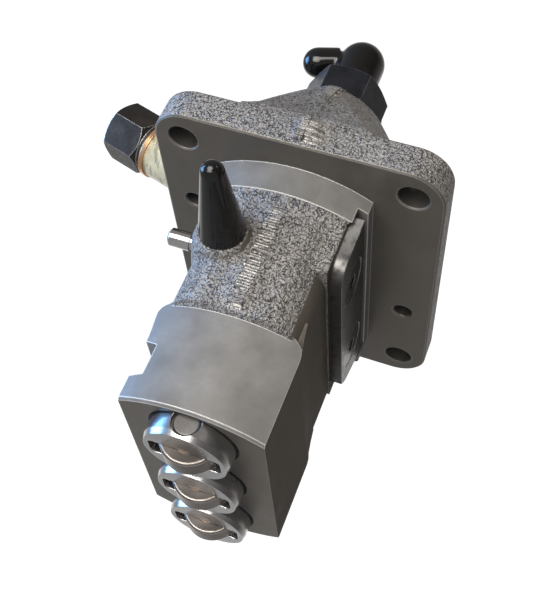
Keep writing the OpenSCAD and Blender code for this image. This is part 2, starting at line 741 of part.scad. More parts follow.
module valve_seat() {
  difference() {
    union() {
      rod(barrel_head_r, valve_seat_z, valve_seat_z + valve_rim);
      rod(barrel_head_r - 1.2, valve_seat_z + valve_rim - step, valve_seat_top);
    }
    rod(valve_bore_r, valve_seat_z - step, valve_seat_top + step);
    translate([0, 0, valve_seat_top - 1]) cylinder(r1 = valve_bore_r, r2 = valve_bore_r + 1.1, h = 1.1);
  }
}

// Delivery valve: fluted stem, relief collar, cone and spring spigot
module valve() {
  difference() {
    rotate_extrude() polygon([[0, valve_seat_z + 0.8], [2.95, valve_seat_z + 0.8], [2.95, valve_seat_top - 3],
      [2.2, valve_seat_top - 2.8], [2.2, valve_seat_top - 2.2], [2.96, valve_seat_top - 2.1],
      [2.96, valve_seat_top - 0.9], [3.9, valve_seat_top + 0.08], [3.9, valve_seat_top + 1.2],
      [2.3, valve_seat_top + valve_spring_seat], [2.3, valve_seat_top + 3.4], [0, valve_seat_top + 3.4]]);
    for (a = [0 : 90 : 270]) rotate(a) translate([1.5, 1.5, valve_seat_z])
      cube([4, 4, valve_seat_top - valve_seat_z - 3]);
  }
}

module valve_spring() {
  coil(3.1, 0.9, valve_seat_top + valve_spring_seat, valve_chamber_top, 6, 6, 10);
}

module hexagon(circum, low, high, turn) {
  translate([0, 0, low]) rotate(turn) cylinder(r = circum, h = high - low, $fn = 6);
}

// Delivery valve holder: thread, hexagon with a turned chamfer, and the outlet
module holder() {
  difference() {
    union() {
      difference() {
        rod(holder_r, holder_z, dome_height + step);
        translate([0, 0, dome_height - 3.4]) difference() {
          cylinder(r = holder_r + 1, h = holder_groove);
          translate([0, 0, -1]) cylinder(r = holder_r - 1.7, h = holder_groove + 2);
        }
      }
      intersection() {
        hexagon(holder_hex_r, dome_height, hex_top, holder_turn);
        rotate_extrude() polygon([[0, dome_height], [holder_hex_r - 0.9, dome_height],
          [holder_hex_r + 0.1, dome_height + 0.6], [holder_hex_r + 0.1, hex_top - 1.2],
          [holder_hex_r - 2.0, hex_top], [0, hex_top]]);
      }
      rotate_extrude() polygon([[0, hex_top - step], [outlet_r, hex_top - step], [outlet_r, outlet_top - 1.4],
        [outlet_r - 1.3, outlet_top], [0, outlet_top]]);
    }
    rod(valve_chamber_r, holder_z - step, valve_chamber_top);
    rod(outlet_bore_r, valve_chamber_top - step, outlet_top + step);
    translate([0, 0, outlet_top - 2.6]) cylinder(r1 = outlet_bore_r, r2 = 3.6, h = 2.7);
  }
}

module holder_seal() {
  translate([0, 0, dome_height - 2.3]) rotate_extrude()
    translate([holder_r - 0.84, 0]) circle(r = 0.82, $fn = 20);
}

// Rubber dust cap over an outlet: a domed sleeve with one thick ear towards the inlet side
module dust_cap() {
  inner = outlet_r + loose_gap;
  difference() {
    union() {
      rotate_extrude() polygon(concat([[0, cap_low]],
        arc_points(dust_cap_radius - 1.2, cap_low + 1.2, 1.2, -90, 0, 3),
        arc_points(0, cap_centre, dust_cap_radius, 0, 90, 8)));
      translate([0, -ear_reach, cap_centre - ear_drop]) rotate([ear_rise - 90, 0, 0]) rotate_extrude()
        polygon(concat(arc_points(0, 0, ear_radius, -90, 0, 7),
          [[ear_radius - 0.2, ear_reach - outlet_r], [0, ear_reach - outlet_r]]));
    }
    rotate_extrude() polygon([[0, cap_low - step], [inner, cap_low - step], [inner, outlet_top - 1.2],
      [inner - 1.5, outlet_top + 0.4], [0, outlet_top + 0.4]]);
  }
}

module rack_tooth_gaps() {
  p = PI * gear_module;
  root = gear_pitch_r + 1.12 * gear_module;
  tip = gear_pitch_r - 0.92 * gear_module;
  slope = tan(20);
  wide = p / 4 + backlash / 2 + slope * (gear_pitch_r - tip);
  narrow = p / 4 + backlash / 2 - slope * (root - gear_pitch_r);
  for (i = [ceil(rack_left / p) : floor(rack_right / p)])
    translate([i * p, 0, rack_z]) linear_extrude(height = 2 * rack_diameter, center = true)
      polygon([[-narrow, -root], [narrow, -root], [wide, -tip], [wide, 0], [-wide, 0], [-wide, -tip]]);
}

// Control rack: round bar with a flat and three sets of teeth, and a thin end in the cone cap
module rack() {
  flat_y = -gear_pitch_r + 0.92 * gear_module;
  difference() {
    at_rack() union() {
      rod_x(rack_r, rack_left, rack_right);
      rod_x(rack_stub_r, rack_right - step, rack_stub_right);
    }
    translate([rack_left - 1, flat_y, rack_z - rack_diameter])
      cube([rack_right - rack_left + 1, rack_diameter, 2 * rack_diameter]);
    rack_tooth_gaps();
    translate([link_pin_x, link_hole_top, rack_z]) rotate([90, 0, 0])
      cylinder(r = link_hole_r, h = 2 * rack_diameter);
  }
}

// Link pin: a thick head outside the boss and a thinner shank in the rack
module link_pin() {
  head_r = link_pin_diameter / 2;
  head = link_head_y - link_pin_y;
  translate([link_pin_x, link_pin_y, rack_z]) rotate([-90, 0, 0]) rotate_extrude()
    polygon([[0, 0], [head_r - 0.5, 0], [head_r, 0.5], [head_r, head], [link_shank_r, head],
      [link_shank_r, link_hole_top - link_pin_y], [0, link_hole_top - link_pin_y]]);
}

// Hollow cone cap with a spigot in the boss's counterbore
module cone_cap() {
  wall = 1.25;
  slope = (cone_base_radius - cone_tip_radius) / cone_length;
  inner_end = cone_length - 3.5;
  at_rack() translate([boss_face, 0, 0]) rotate([0, 90, 0]) difference() {
    rotate_extrude() polygon(concat([[0, -cap_spigot_length], [cap_spigot_r, -cap_spigot_length],
      [cap_spigot_r, 0], [cone_base_radius, 0], [cone_base_radius, 0.6]],
      arc_points(0, cone_length - cone_tip_radius, cone_tip_radius, 6, 90, 6)));
    translate([0, 0, -cap_spigot_length - step])
      cylinder(r = rack_bore_r + 0.2, h = cap_spigot_length + step + 0.4);
    translate([0, 0, 0.3])
      cylinder(r1 = rack_bore_r + 0.2, r2 = cone_base_radius - wall - slope * inner_end, h = inner_end);
  }
}

// Pressed cup that closes the rack's bore at the far end
module rack_plug() {
  at_rack() translate([-boss_face + 0.3, 0, 0]) rotate([0, 90, 0]) difference() {
    cylinder(r = plug_r, h = plug_depth - 0.3);
    translate([0, 0, -step]) cylinder(r = plug_r - 1.2, h = plug_depth - 1.3);
  }
}

// Outline of the cover, with its lower corners cut and rounded
module cover_outline() {
  left = cover_x - cover_half;
  right = cover_x + cover_half - cover_corner;
  polygon([[left, cover_top], [left, cover_top - 5], [left + cover_notch[1], cover_notch[2] - cover_bottom],
    [left + cover_notch[0], -cover_bottom], [right, -cover_bottom], [right, cover_top]]);
  translate([right - 1, -cover_bottom + cover_corner])
    square([cover_corner + 1, cover_height - cover_corner]);
  translate([right, -cover_bottom + cover_corner]) circle(r = cover_corner);
}

module cover_sheet(inner, outer) {
  translate([0, outer, 0]) rotate([90, 0, 0]) linear_extrude(height = outer - inner) cover_outline();
}

// Countersunk screw without its socket, from the head's face into the body, widened by a gap
module screw_shape(gap) {
  rotate_extrude() polygon([[0, -gap], [screw_head_r + gap, -gap], [screw_head_r + gap, 0.3],
    [screw_r + gap, screw_head], [screw_r + gap, screw_head + screw_reach], [0, screw_head + screw_reach]]);
}

// Places its children at each cover screw, with +Z into the body
module at_cover_screws() {
  for (x = cover_screw_x) translate([x, cover_outer - 0.1, cover_middle_z]) rotate([90, 0, 0]) children();
}

module side_cover() {
  difference() {
    cover_sheet(cover_inner, cover_outer);
    at_cover_screws() {
      screw_shape(screw_gap);
      translate([0, 0, -1]) cylinder(r = screw_head_r + screw_gap, h = 1.1);
    }
  }
}

module cover_gasket() {
  difference() {
    cover_sheet(pad_front, cover_inner);
    for (x = cover_screw_x) translate([x, cover_inner + step, cover_middle_z]) rotate([90, 0, 0])
      cylinder(r = screw_r + 0.3, h = gasket_thickness + 1);
    for (s = [[-pitch - 4, -pitch + 3], [-7, 12], [pitch + 2, pitch + 7.5]])
      translate([s[0], pad_front - 1, window_z[0] + 0.5]) cube([s[1] - s[0], 3, cover_top - 2 - window_z[0]]);
  }
}

// Two countersunk screws with a hexagon socket, flush with the cover
module cover_screws() {
  at_cover_screws() difference() {
    screw_shape(0);
    translate([0, 0, -step]) cylinder(r = socket_r, h = socket_r, $fn = 6);
  }
}

module inlet_fitting() {
  at_inlet() difference() {
    rotate_extrude() polygon([[0, inlet_spigot_end], [inlet_spigot_r, inlet_spigot_end],
      [inlet_spigot_r, inlet_boss_end],
      [inlet_radius - 0.5, inlet_boss_end], [inlet_radius, inlet_boss_end + 0.5],
      [inlet_radius, inlet_fitting_end], [inlet_thread_r, inlet_fitting_end],
      [inlet_thread_r, inlet_reach - inlet_nut_crown - 0.4], [0, inlet_reach - inlet_nut_crown - 0.4]]);
    rod(inlet_bore_r, inlet_spigot_end - step, inlet_reach);
  }
}

module copper_washer() {
  at_inlet() difference() {
    rod(washer_r, inlet_fitting_end, inlet_nut_start);
    rod(inlet_thread_r + 0.1, inlet_fitting_end - step, inlet_nut_start + step);
  }
}

// Cap nut: round collar, hexagon with turned chamfers and a blind thread
module inlet_nut() {
  hex_low = inlet_hex_start - 1.6;
  at_inlet() difference() {
    union() {
      rod(inlet_nut_flats / 2 - 0.4, inlet_nut_start, inlet_hex_start);
      intersection() {
        hexagon(inlet_nut_r, hex_low, inlet_reach, inlet_hex_turn);
        rotate_extrude() polygon([[0, hex_low], [inlet_nut_flats / 2 - 0.6, hex_low],
          [inlet_nut_r + 0.05, inlet_hex_start], [inlet_nut_r + 0.05, inlet_reach - 1.0],
          [inlet_nut_flats / 2 - 0.3, inlet_reach], [0, inlet_reach]]);
      }
    }
    rod(inlet_thread_r + 0.1, inlet_nut_start - step, inlet_reach - inlet_nut_crown);
  }
}

housing();
color(steel_grey) translate([pitch, 0, 0]) tappet();  // tappet_1
color(steel_grey) tappet();  // tappet_2
color(steel_grey) translate([-pitch, 0, 0]) tappet();  // tappet_3
color("dimgray") translate([pitch, 0, 0]) roller();  // roller_1
color("dimgray") roller();  // roller_2
color("dimgray") translate([-pitch, 0, 0]) roller();  // roller_3
color("goldenrod") translate([pitch, 0, 0]) roller_bush();  // roller_bush_1
color("goldenrod") roller_bush();  // roller_bush_2
color("goldenrod") translate([-pitch, 0, 0]) roller_bush();  // roller_bush_3
color("silver") translate([pitch, 0, 0]) roller_pin();  // roller_pin_1
color("silver") roller_pin();  // roller_pin_2
color("silver") translate([-pitch, 0, 0]) roller_pin();  // roller_pin_3
color("silver") translate([pitch, 0, 0]) shim();  // shim_1
color("silver") shim();  // shim_2
color("silver") translate([-pitch, 0, 0]) shim();  // shim_3
color("gray") translate([pitch, 0, 0]) lower_seat();  // lower_seat_1
color("gray") lower_seat();  // lower_seat_2
color("gray") translate([-pitch, 0, 0]) lower_seat();  // lower_seat_3
color("darkgray") translate([pitch, 0, 0]) plunger_spring();  // plunger_spring_1
color("darkgray") plunger_spring();  // plunger_spring_2
color("darkgray") translate([-pitch, 0, 0]) plunger_spring();  // plunger_spring_3
color("silver") translate([pitch, 0, 0]) plunger();  // plunger_1
color("silver") plunger();  // plunger_2
color("silver") translate([-pitch, 0, 0]) plunger();  // plunger_3
color("tan") translate([pitch, 0, 0]) control_sleeve();  // control_sleeve_1
color("tan") control_sleeve();  // control_sleeve_2
color("tan") translate([-pitch, 0, 0]) control_sleeve();  // control_sleeve_3
color("gray") at_cylinders() upper_seat();  // upper_seats
color("silver") at_cylinders() barrel();  // barrels
color("silver") at_cylinders() barrel_dowel();  // barrel_dowels
color("silver") at_cylinders() guide_pin();  // guide_pins
color("silver") at_cylinders() valve_seat();  // valve_seats
color("silver") translate([pitch, 0, 0]) valve();  // valve_1
color("silver") valve();  // valve_2
color("silver") translate([-pitch, 0, 0]) valve();  // valve_3
color("darkgray") translate([pitch, 0, 0]) valve_spring();  // valve_spring_1
color("darkgray") valve_spring();  // valve_spring_2
color("darkgray") translate([-pitch, 0, 0]) valve_spring();  // valve_spring_3
color([0.16, 0.17, 0.2]) at_cylinders() holder();  // holders
color(dark_rubber) at_cylinders() holder_seal();  // holder_seals
color(dark_rubber) translate([pitch, 0, 0]) dust_cap();  // dust_cap_1
color(dark_rubber) dust_cap();  // dust_cap_2
color(dark_rubber) translate([-pitch, 0, 0]) dust_cap();  // dust_cap_3
color("silver") rack();
color("silver") link_pin();
color(dark_rubber) cone_cap();
color("silver") rack_plug();
color([0.3, 0.3, 0.31]) side_cover();
color("black") cover_gasket();
color("silver") cover_screws();
color("palegoldenrod") inlet_fitting();
color(copper_red) copper_washer();
color([0.1, 0.1, 0.1]) inlet_nut();
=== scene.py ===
"""Looks of a flange-mounted diesel injection pump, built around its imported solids."""
import math

import bpy
from bpy.props import FloatProperty, FloatVectorProperty, IntProperty, PointerProperty
from bpy.types import Operator, Panel, PropertyGroup
from mathutils import Matrix, Vector


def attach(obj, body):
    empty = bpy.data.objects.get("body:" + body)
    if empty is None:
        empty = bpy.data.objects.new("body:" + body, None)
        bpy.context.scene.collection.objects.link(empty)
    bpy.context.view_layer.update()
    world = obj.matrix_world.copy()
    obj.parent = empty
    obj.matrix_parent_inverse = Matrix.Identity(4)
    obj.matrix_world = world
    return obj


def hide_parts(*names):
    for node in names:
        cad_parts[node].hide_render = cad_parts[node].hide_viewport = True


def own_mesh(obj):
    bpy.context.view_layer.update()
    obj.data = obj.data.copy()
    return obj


bl_info = {
    "name": "Injection pump looks",
    "version": (1, 0, 0),
    "blender": (4, 5, 0),
    "location": "3D View > Sidebar > Pump",
    "description": "Finishes and fine pieces of a flange-mounted diesel injection pump",
    "category": "Object",
}

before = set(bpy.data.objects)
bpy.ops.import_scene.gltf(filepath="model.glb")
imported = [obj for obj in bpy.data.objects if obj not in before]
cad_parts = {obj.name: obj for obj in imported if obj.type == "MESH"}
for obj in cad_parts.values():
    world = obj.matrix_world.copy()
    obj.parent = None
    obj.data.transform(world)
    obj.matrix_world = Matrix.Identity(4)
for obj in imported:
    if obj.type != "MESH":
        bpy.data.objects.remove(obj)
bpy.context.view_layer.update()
MM = 0.001
PITCH = 24 * MM
CYLINDERS = (1, 2, 3)

# The casting's finishes, numbered by its material slots; BORED and DOME carry painted shade, SIDE partly
# painted shade
CAST, UNDERSIDE, GUIDE, BORED, SIDE, FILED, DOME = range(7)

# Where the finishes of the casting meet
RIDGE_HALF = 1.8 * MM
FLANGE_RIDGE_FROM = 51.7 * MM
DOME_RIDGE_FROM, DOME_RIDGE_TO = 25 * MM, 33 * MM
TAPPET_BORE = 12.2 * MM
UPPER_BORE = 10.6 * MM
DOME_TOP = 33.4 * MM
DOME_FOOT = 11.2 * MM
UNDERSIDE_SLACK, CHAMFER_SLACK = 0.2 * MM, 0.6 * MM
PILOT_FOOT = -9.2 * MM
PILOT_RADIUS = 41.0 * MM
PILOT_SIDE = 21.5 * MM
BODY_TOP = -9 * MM
BODY_BOTTOM = -44.8 * MM
BODY_CORNER_Y, BODY_CORNER_Z = 15 * MM, -37 * MM
GUIDE_END = -72 * MM
RACK_Y, RACK_Z, RACK_BORE = -10.7 * MM, -24 * MM, 5.9 * MM

# Bolt and jack holes of the flange: x, y and radius of the rim in mm
HOLES = ((41.25, 31.95, 4.9), (-41.25, 31.95, 4.9), (41.25, -31.95, 4.9), (-41.25, -31.95, 4.9),
         (14.06, -31.95, 3.4), (-14.06, 31.95, 3.4))

# Ridge bands in mm: the end surface that they stand on, and how far they run in z
BODY_BAND, BODY_RISE = 38.5, (-43.9, -10.0)
FLANGE_BAND, FLANGE_RISE = 50.3, (0.9, 9.6)

# The photograph's viewpoint, solved from the pump's edges
CAMERA_PLACE = (0.25213, 0.06658, -0.15714)
CAMERA_RIGHT = (-0.0600987, 0.9313235, 0.3592000)
CAMERA_UP = (0.5222899, -0.2773210, 0.8064157)

# Direction of the white wall behind the pump, and the spread of the lights
BEHIND = (-0.8506, -0.2361, 0.4698)
LIGHT_SPREAD = math.radians(80)


# Node helpers

class Finish:
    """One material's node tree, with short calls for the nodes that the finishes share."""

    def __init__(self, name):
        self.material = bpy.data.materials.new(name)
        self.material.use_nodes = True
        self.tree = self.material.node_tree
        self.shader = self.tree.nodes["Principled BSDF"]
        self.place = self.tree.nodes.new("ShaderNodeTexCoord").outputs["Object"]

    def link(self, source, target):
        """Joins an output to an input."""
        self.tree.links.new(source, target)

    def stretched(self, scale):
        """Object coordinates scaled along each axis."""
        mapping = self.tree.nodes.new("ShaderNodeMapping")
        mapping.inputs["Scale"].default_value = scale
        self.link(self.place, mapping.inputs["Vector"])
        return mapping.outputs["Vector"]

    def noise(self, scale, detail, rough=0.55, where=None):
        """Noise between 0 and 1."""
        node = self.tree.nodes.new("ShaderNodeTexNoise")
        node.inputs["Scale"].default_value = scale
        node.inputs["Detail"].default_value = detail
        node.inputs["Roughness"].default_value = rough
        self.link(where or self.place, node.inputs["Vector"])
        return node.outputs["Fac"]

    def lines(self, value, level, near, far):
        """0 on thin lines where a value passes a level, 1 away from them."""
        return self.span(self.math("ABSOLUTE", self.math("SUBTRACT", value, level), 0.0), near, far)

    def span(self, value, low, high, start=0.0, end=1.0):
        """A value moved from one range to another and clamped."""
        node = self.tree.nodes.new("ShaderNodeMapRange")
        node.inputs["From Min"].default_value = low
        node.inputs["From Max"].default_value = high
        node.inputs["To Min"].default_value = start
        node.inputs["To Max"].default_value = end
        self.link(value, node.inputs["Value"])
        return node.outputs["Result"]

    def math(self, kind, first, second):
        """A sum, product or other simple operation."""
        node = self.tree.nodes.new("ShaderNodeMath")
        node.operation = kind
        for slot, value in ((0, first), (1, second)):
            if isinstance(value, (int, float)):
                node.inputs[slot].default_value = value
            else:
                self.link(value, node.inputs[slot])
        return node.outputs["Value"]

    def mix(self, share, first, second):
        """Two colours mixed by a share."""
        node = self.tree.nodes.new("ShaderNodeMix")
        node.data_type = "RGBA"
        self.link(share, node.inputs["Factor"])
        for slot, value in ((6, first), (7, second)):
            if isinstance(value, bpy.types.NodeSocket):
                self.link(value, node.inputs[slot])
            else:
                node.inputs[slot].default_value = (value[0], value[1], value[2], 1.0)
        return node.outputs[2]

    def rounded(self, radius):
        """Normal that rolls over the edges of the solid."""
        node = self.tree.nodes.new("ShaderNodeBevel")
        node.samples = 6
        node.inputs["Radius"].default_value = radius
        return node.outputs["Normal"]

    def edges(self, normal):
        """1 on the solid's edges, where wear and painted highlights go, 0 on the faces between them."""
        geometry = self.tree.nodes.new("ShaderNodeNewGeometry")
        dot = self.tree.nodes.new("ShaderNodeVectorMath")
        dot.operation = "DOT_PRODUCT"
        self.link(normal, dot.inputs[0])
        self.link(geometry.outputs["Normal"], dot.inputs[1])
        return self.span(dot.outputs["Value"], 0.97, 1.0, 1.0, 0.0)

    def raised(self, height, strength, distance, normal=None):
        """Normal with fine relief."""
        node = self.tree.nodes.new("ShaderNodeBump")
        node.inputs["Strength"].default_value = strength
        node.inputs["Distance"].default_value = distance
        self.link(height, node.inputs["Height"])
        if normal is not None:
            self.link(normal, node.inputs["Normal"])
        return node.outputs["Normal"]

    def wear(self, colour, rough, normal, metal, specular=0.5):
        """Sets the shader's sockets: colours and normals are linked, constants are written."""
        shader = self.shader
        self.link(colour, shader.inputs["Base Color"])
        if isinstance(rough, float):
            shader.inputs["Roughness"].default_value = rough
        else:
            self.link(rough, shader.inputs["Roughness"])
        self.link(normal, shader.inputs["Normal"])
        shader.inputs["Metallic"].default_value = metal
        shader.inputs["Specular IOR Level"].default_value = specular
        return self.material


def shade(colour, factor):
    """The same colour, lighter or darker."""
    return tuple(channel * factor for channel in colour[:3])


# Finishes

def sand(finish, colour):
    """Colour and relief of a sand-cast skin: dark worm-shaped pits, pale grains and slow patches."""
    coarse = finish.noise(110, 3.0)
    grains = finish.noise(860, 2.0, 0.5)
    crumbs = finish.noise(1700, 2.0, 0.55)
    pits = finish.lines(grains, 0.5, 0.006, 0.036)
    crests = finish.lines(crumbs, 0.56, 0.004, 0.036)
    patch = finish.mix(finish.span(coarse, 0.35, 0.65), shade(colour, 0.84), shade(colour, 1.14))
    tone = finish.mix(crests, shade(colour, 2.0), patch)
    tone = finish.mix(pits, shade(colour, 0.24), tone)
    relief = finish.math("ADD", pits, finish.math("MULTIPLY", grains, 1.6))
    relief = finish.math("ADD", relief, finish.math("MULTIPLY", crumbs, 0.9))
    return tone, relief, grains


def cast_iron(name, colour, grain, edge):
    """Sand-cast iron with soft edges."""
    finish = Finish(name)
    tone, relief, grains = sand(finish, colour)
    normal = finish.raised(relief, 1.0, grain, finish.rounded(edge))
    return finish.wear(tone, finish.span(grains, 0.3, 0.7, 0.66, 0.46), normal, 0.3, 0.4)


def filed_iron(colour, bright, grain):
    """Sand-cast iron with broken file marks of bright metal across it."""
    finish = Finish("filed_ridge")
    tone, relief, grains = sand(finish, colour)
    marks = finish.noise(1.0, 2.0, 0.6, finish.stretched((200, 90, 1500)))
    breaks = finish.noise(1.0, 2.0, 0.5, finish.stretched((300, 420, 200)))
    mark = finish.math("MULTIPLY", finish.span(marks, 0.49, 0.54), finish.span(breaks, 0.4, 0.5))
    tone = finish.mix(finish.span(marks, 0.38, 0.43), shade(colour, 0.45), tone)
    tone = finish.mix(mark, tone, bright)
    lift = finish.math("ADD", finish.math("MULTIPLY", relief, 0.25), finish.math("MULTIPLY", marks, 1.2))
    normal = finish.raised(lift, 0.8, grain)
    return finish.wear(tone, 0.42, normal, 0.5, 0.4)


def milled_iron(name, colour, rough, scale, edge_wear_highlight_colour, edge_width, stain=0.12, metal=0.4, gloss=0.4):
    """Machined iron: fine cutter lines, faint stains, and edges painted brighter, partly wear and partly a
    painted highlight.
    """
    finish = Finish(name)
    lines = finish.noise(1.0, 2.0, 0.5, finish.stretched(scale))
    stains = finish.noise(95, 5.0, 0.6)
    face = finish.mix(finish.span(stains, 0.35, 0.7), shade(colour, 1.0 - stain), shade(colour, 1.0 + stain))
    face = finish.mix(finish.span(lines, 0.3, 0.7, 0.6, 1.0), shade(colour, 0.93), face)
    soft = finish.rounded(edge_width)
    # Edges painted brighter: partly wear, partly a painted highlight.
    worn_and_highlit = finish.edges(soft)
    tone = finish.mix(worn_and_highlit, face, edge_wear_highlight_colour)
    normal = finish.raised(lines, 0.06, 0.00004, soft)
    return finish.wear(tone, finish.span(stains, 0.3, 0.7, rough * 0.85, rough * 1.2), normal, metal, gloss)


def ground_steel(name, colour, rough, scale, edge_width=0.0003, edge_highlight_gain=1.3):
    """Ground or turned metal: hair-fine lines, and edges painted brighter as a highlight."""
    finish = Finish(name)
    lines = finish.noise(1.0, 3.0, 0.6, finish.stretched(scale))
    clouds = finish.noise(120, 3.0)
    tone = finish.mix(finish.span(lines, 0.25, 0.75), shade(colour, 0.86), shade(colour, 1.08))
    tone = finish.mix(finish.span(clouds, 0.4, 0.75), tone, shade(colour, 0.8))
    soft = finish.rounded(edge_width)
    # Painted highlight: the edges made lighter by the highlight gain.
    tone = finish.mix(finish.edges(soft), tone, shade(colour, edge_highlight_gain))
    normal = finish.raised(lines, 0.08, 0.00003, soft)
    return finish.wear(tone, finish.span(clouds, 0.3, 0.7, rough * 0.8, rough * 1.3), normal, 1.0)


def black_oxide(name, colour, edge_wear_highlight_colour, rough, edge_width=0.0004):
    """Blackened steel, satin, with bare metal along the corners, partly wear and partly a painted highlight.
    """
    finish = Finish(name)
    grain = finish.noise(900, 4.0, 0.65)
    clouds = finish.noise(160, 3.0)
    soft = finish.rounded(edge_width)
    face = finish.mix(finish.span(clouds, 0.35, 0.7), shade(colour, 0.8), shade(colour, 1.35))
    # Bare metal on the corners, broken up by grain: partly wear, partly a painted highlight.
    worn_and_highlit = finish.math("MULTIPLY", finish.edges(soft), finish.span(grain, 0.35, 0.6, 0.35, 1.0))
    tone = finish.mix(worn_and_highlit, face, edge_wear_highlight_colour)
    normal = finish.raised(grain, 0.2, 0.00006, soft)
    return finish.wear(tone, finish.span(grain, 0.3, 0.7, rough * 0.8, rough * 1.25), normal, 0.8)


def moulded_black(name, colour, rough, relief):
    """Glossy moulded rubber or plastic with a faint orange-peel surface."""
    finish = Finish(name)
    skin = finish.noise(700, 3.0)
    dust = finish.noise(260, 5.0, 0.7)
    tone = finish.mix(finish.span(dust, 0.55, 0.8), colour, shade(colour, 2.4))
    normal = finish.raised(skin, relief, 0.00006, finish.rounded(0.0003))
    return finish.wear(tone, finish.span(dust, 0.4, 0.8, rough, rough * 1.9), normal, 0.0, 0.42)


def plated(name, colour, rough):
    """Zinc plating with pale clouds and dull streaks."""
    finish = Finish(name)
    clouds = finish.noise(220, 4.0, 0.6)
    soft = finish.rounded(0.0003)
    streaks = finish.noise(1.0, 3.0, 0.6, finish.stretched((160, 700, 160)))
    tone = finish.mix(finish.span(clouds, 0.35, 0.7), shade(colour, 0.8), shade(colour, 1.1))
    tone = finish.mix(finish.span(streaks, 0.5, 0.6), tone, shade(colour, 0.5))
    normal = finish.raised(clouds, 0.06, 0.0001, soft)
    return finish.wear(tone, finish.span(clouds, 0.3, 0.7, rough * 0.8, rough * 1.2), normal, 0.35, 0.5)


def soft_copper(colour):
    """Annealed copper, darker in patches."""
    finish = Finish("soft_copper")
    clouds = finish.noise(240, 3.0)
    soft = finish.rounded(0.0003)
    tone = finish.mix(finish.span(clouds, 0.4, 0.65), shade(colour, 0.75), colour)
    return finish.wear(tone, 0.3, finish.raised(clouds, 0.1, 0.0001, soft), 1.0)


# Settings that a user would change

class PumpFinishes(PropertyGroup):
    """Colours and grain of the pump's surfaces"""

    cast_colour: FloatVectorProperty(
        name="Cast iron", description="Colour of the sand-cast surface", subtype="COLOR",
        size=3, min=0.0, max=1.0, default=(0.26, 0.25, 0.24))
    filed_colour: FloatVectorProperty(
        name="Filed metal", description="Colour of the file marks on the parting ridges", subtype="COLOR",
        size=3, min=0.0, max=1.0, default=(0.42, 0.4, 0.37))
    cast_grain: FloatProperty(
        name="Cast grain", description="Depth of the sand-cast grain", subtype="DISTANCE",
        unit="LENGTH", default=0.0005, min=0.0, max=0.002)
    cast_edge: FloatProperty(
        name="Cast edge radius", description="Softness of the casting's edges", subtype="DISTANCE",
        unit="LENGTH", default=0.0011, min=0.0, max=0.003)
    guide_colour: FloatVectorProperty(
        name="Guide", description="Colour of the machined guide", subtype="COLOR",
        size=3, min=0.0, max=1.0, default=(0.22, 0.215, 0.207))
    underside_colour: FloatVectorProperty(
        name="Flange underside", description="Colour of the machined underside", subtype="COLOR",
        size=3, min=0.0, max=1.0, default=(0.125, 0.112, 0.094))
    # Darker than the guide's face: partly the sides' own finish, partly painted shade on the cover side
    side_colour: FloatVectorProperty(
        name="Guide sides", description="Colour of the guide's long sides", subtype="COLOR",
        size=3, min=0.0, max=1.0, default=(0.105, 0.092, 0.077))
    tappet_colour: FloatVectorProperty(
        name="Tappet", description="Colour of the ground tappets", subtype="COLOR",
        size=3, min=0.0, max=1.0, default=(0.52, 0.52, 0.53))
    roller_colour: FloatVectorProperty(
        name="Roller", description="Colour of the rollers", subtype="COLOR",
        size=3, min=0.0, max=1.0, default=(0.2, 0.18, 0.165))
    holder_colour: FloatVectorProperty(
        name="Delivery holder", description="Colour of the blackened holders", subtype="COLOR",
        size=3, min=0.0, max=1.0, default=(0.03, 0.032, 0.04))
    cap_colour: FloatVectorProperty(
        name="Caps", description="Colour of the rubber and plastic caps", subtype="COLOR",
        size=3, min=0.0, max=1.0, default=(0.005, 0.005, 0.005))


class PumpDetail(PropertyGroup):
    """Sizes of the fine pieces"""

    rung_pitch: FloatProperty(
        name="Rung pitch", description="Distance between the file marks on the parting ridges",
        subtype="DISTANCE", unit="LENGTH", default=0.00085, min=0.0003, max=0.003)
    rung_depth: FloatProperty(
        name="Rung depth", description="Depth of the file marks", subtype="DISTANCE",
        unit="LENGTH", default=0.00007, min=0.0, max=0.001)
    cap_voxel: FloatProperty(
        name="Cap mesh size", description="Mesh size of the dust caps", subtype="DISTANCE",
        unit="LENGTH", default=0.0004, min=0.0002, max=0.002)
    cap_rounds: IntProperty(
        name="Cap smoothing", description="Smoothing rounds of the dust caps", default=10, min=0, max=60)


class PumpStage(PropertyGroup):
    """Light, floor and camera"""

    key_power: FloatProperty(
        name="Key light", description="Power of the large light beside the rack end", unit="POWER",
        default=1.5, min=0.0, max=100.0)
    side_power: FloatProperty(
        name="Side light", description="Power of the cool light on the inlet side", unit="POWER",
        default=1.9, min=0.0, max=100.0)
    stripe_power: FloatProperty(
        name="Stripe light", description="Power of the small light above the rack end's cover side",
        unit="POWER", default=0.1, min=0.0, max=10.0)
    floor_drop: FloatProperty(
        name="Floor drop", description="Distance of the floor below the flange", subtype="DISTANCE",
        unit="LENGTH", default=0.55, min=0.1, max=3.0)
    lens: FloatProperty(
        name="Lens", description="Focal length for a 36 mm sensor", unit="CAMERA", default=61.565,
        min=10.0, max=300.0)


# Mesh helpers

def smooth_piece(name, mesh, material):
    """Adds a smooth mesh object of one material."""
    mesh.materials.clear()
    mesh.materials.append(material)
    for polygon in mesh.polygons:
        polygon.use_smooth = True
    piece = bpy.data.objects.new(name, mesh)
    bpy.context.scene.collection.objects.link(piece)
    return piece


def ridge_sheet(name, vertices, columns, turned, material):
    """Adds a sheet of ridge metal from rows of points; a turned sheet faces the other way."""
    stride = columns + 1
    faces = []
    for row in range(len(vertices) // stride - 1):
        for column in range(columns):
            corner = row * stride + column
            face = (corner, corner + 1, corner + stride + 1, corner + stride)
            faces.append(face[::-1] if turned else face)
    mesh = bpy.data.meshes.new(name)
    mesh.from_pydata(vertices, [], faces)
    mesh.update()
    piece = smooth_piece(name, mesh, material)
    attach(piece, "housing")


